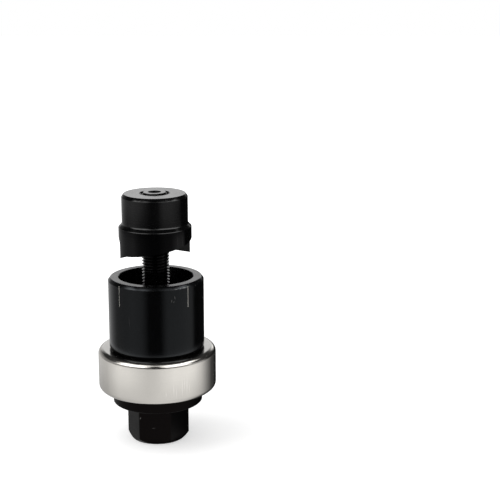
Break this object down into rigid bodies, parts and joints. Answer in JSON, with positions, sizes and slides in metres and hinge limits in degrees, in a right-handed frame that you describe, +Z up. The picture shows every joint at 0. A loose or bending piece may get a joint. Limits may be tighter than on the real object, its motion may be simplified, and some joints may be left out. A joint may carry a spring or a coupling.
{
  "type": "knockout punch",
  "caption": "Round knockout punch and cup die on a ball-bearing draw stud: turning the hex head draws the punch into the die and cuts a hole in sheet metal.",
  "frame": {"origin": "centre of the bottom face of the hex head, on which the tool stands", "axes": "+Z up the axis of the draw stud towards the punch, -Y towards the viewer"},
  "size_m": [0.0414, 0.0414, 0.0889],
  "materials": {
    "black_oxide": "black oxide, satin",
    "bright_band": "polished",
    "race_steel": "ground",
    "ball_steel": "lapped",
    "cage_brass": "stamped"
  },
  "bodies": {
    "die": {"die": "black_oxide", "bearing_shell": "bright_band", "upper_race": "race_steel"},
    "stud": {"draw_stud": "black_oxide", "lower_race": "race_steel"},
    "punch": {"punch": "black_oxide"},
    "cage": {"ball_cage": "cage_brass", "ball_1": "ball_steel", "ball_2": "ball_steel", "ball_3": "ball_steel", "ball_4": "ball_steel", "ball_5": "ball_steel", "ball_6": "ball_steel", "ball_7": "ball_steel", "ball_8": "ball_steel", "ball_9": "ball_steel", "ball_10": "ball_steel", "ball_11": "ball_steel", "ball_12": "ball_steel", "ball_13": "ball_steel", "ball_14": "ball_steel"}
  },
  "joints": [
    {"name": "stud_turn", "type": "hinge", "parent": "die", "child": "stud", "pos_m": [0, 0, 0], "axis": [0, 0, 1], "range_deg": [-2880, 6480]},
    {"name": "punch_slide", "type": "slide", "parent": "die", "child": "punch", "axis": [0, 0, 1], "range_m": [-0.0191, 0.0085]},
    {"name": "cage_turn", "type": "hinge", "parent": "die", "child": "cage", "pos_m": [0, 0, 0], "axis": [0, 0, 1], "range_deg": [-1440, 3240]}
  ],
  "couplings": [
    {"joint": "punch_slide", "follows": "stud_turn", "m_per_rad": -0.00016844},
    {"joint": "cage_turn", "follows": "stud_turn", "ratio": 0.5}
  ]
}
